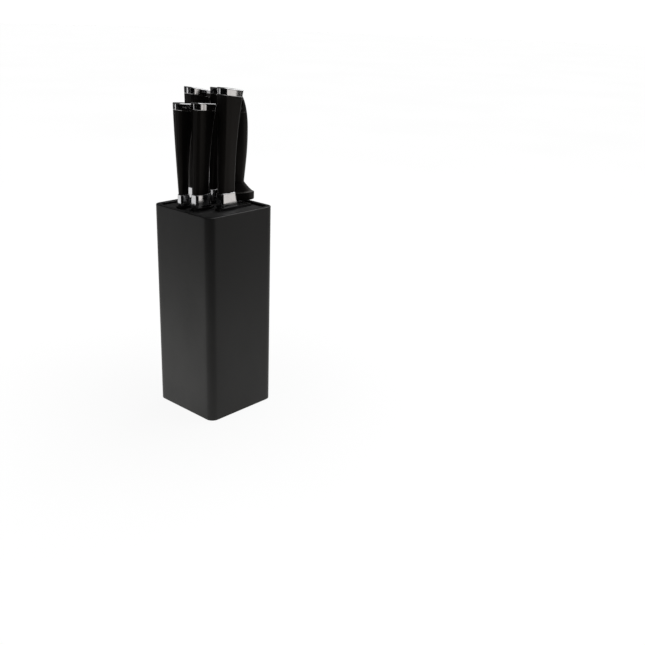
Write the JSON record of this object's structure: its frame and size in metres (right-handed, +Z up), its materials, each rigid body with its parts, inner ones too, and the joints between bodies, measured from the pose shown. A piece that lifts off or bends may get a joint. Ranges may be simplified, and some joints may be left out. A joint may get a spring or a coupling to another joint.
{
  "type": "knife block with knives",
  "caption": "Upright square knife block with rounded corners, holding kitchen knives and a sharpening steel by their handles; each lifts straight out of its slot.",
  "frame": {"origin": "middle of the block's flat underside, where it rests on the table", "axes": "+Z up along the handles; -Y the block's front face; blades lie in XZ planes with their cutting edges towards +X"},
  "size_m": [0.0912, 0.09, 0.347],
  "materials": {
    "block_black": "soft satin black, very fine grain",
    "insert_black": "moulded matt black",
    "screw_steel": "zinc plated",
    "pad_rubber": "matt",
    "grip_black": "satin black, slightly glossy",
    "polished_steel": "mirror polished with fine wear",
    "blade_steel": "satin ground, fine lines across the blade",
    "rod_steel": "fine ridges along the rod"
  },
  "bodies": {
    "block": {"casing": "block_black", "top_plate": "insert_black", "lower_guide": "insert_black", "support_posts": "insert_black", "base_plate": "insert_black", "base_screws": "screw_steel", "base_pad": "pad_rubber"},
    "chef_knife": {"chef_blade": "blade_steel", "chef_bolster": "polished_steel", "chef_grip": "grip_black", "chef_end_cap": "polished_steel"},
    "utility_knife": {"utility_blade": "blade_steel", "utility_bolster": "polished_steel", "utility_grip": "grip_black", "utility_end_cap": "polished_steel"},
    "paring_knife": {"paring_blade": "blade_steel", "paring_bolster": "polished_steel", "paring_grip": "grip_black", "paring_end_cap": "polished_steel"},
    "bread_knife": {"bread_blade": "blade_steel", "bread_bolster": "polished_steel", "bread_grip": "grip_black", "bread_end_cap": "polished_steel"},
    "carving_knife": {"carving_blade": "blade_steel", "carving_bolster": "polished_steel", "carving_grip": "grip_black", "carving_end_cap": "polished_steel"},
    "sharpening_steel": {"steel_rod": "rod_steel", "steel_guard": "grip_black", "steel_grip": "grip_black", "steel_end_cap": "grip_black"}
  },
  "joints": [
    {"name": "chef_knife_lift", "type": "slide", "parent": "block", "child": "chef_knife", "axis": [0, 0, 1], "range_m": [0, 0.21]},
    {"name": "utility_knife_lift", "type": "slide", "parent": "block", "child": "utility_knife", "axis": [0, 0, 1], "range_m": [0, 0.135]},
    {"name": "paring_knife_lift", "type": "slide", "parent": "block", "child": "paring_knife", "axis": [0, 0, 1], "range_m": [0, 0.1]},
    {"name": "bread_knife_lift", "type": "slide", "parent": "block", "child": "bread_knife", "axis": [0, 0, 1], "range_m": [0, 0.21]},
    {"name": "carving_knife_lift", "type": "slide", "parent": "block", "child": "carving_knife", "axis": [0, 0, 1], "range_m": [0, 0.21]},
    {"name": "sharpening_steel_lift", "type": "slide", "parent": "block", "child": "sharpening_steel", "axis": [0, 0, 1], "range_m": [0, 0.235]}
  ]
}
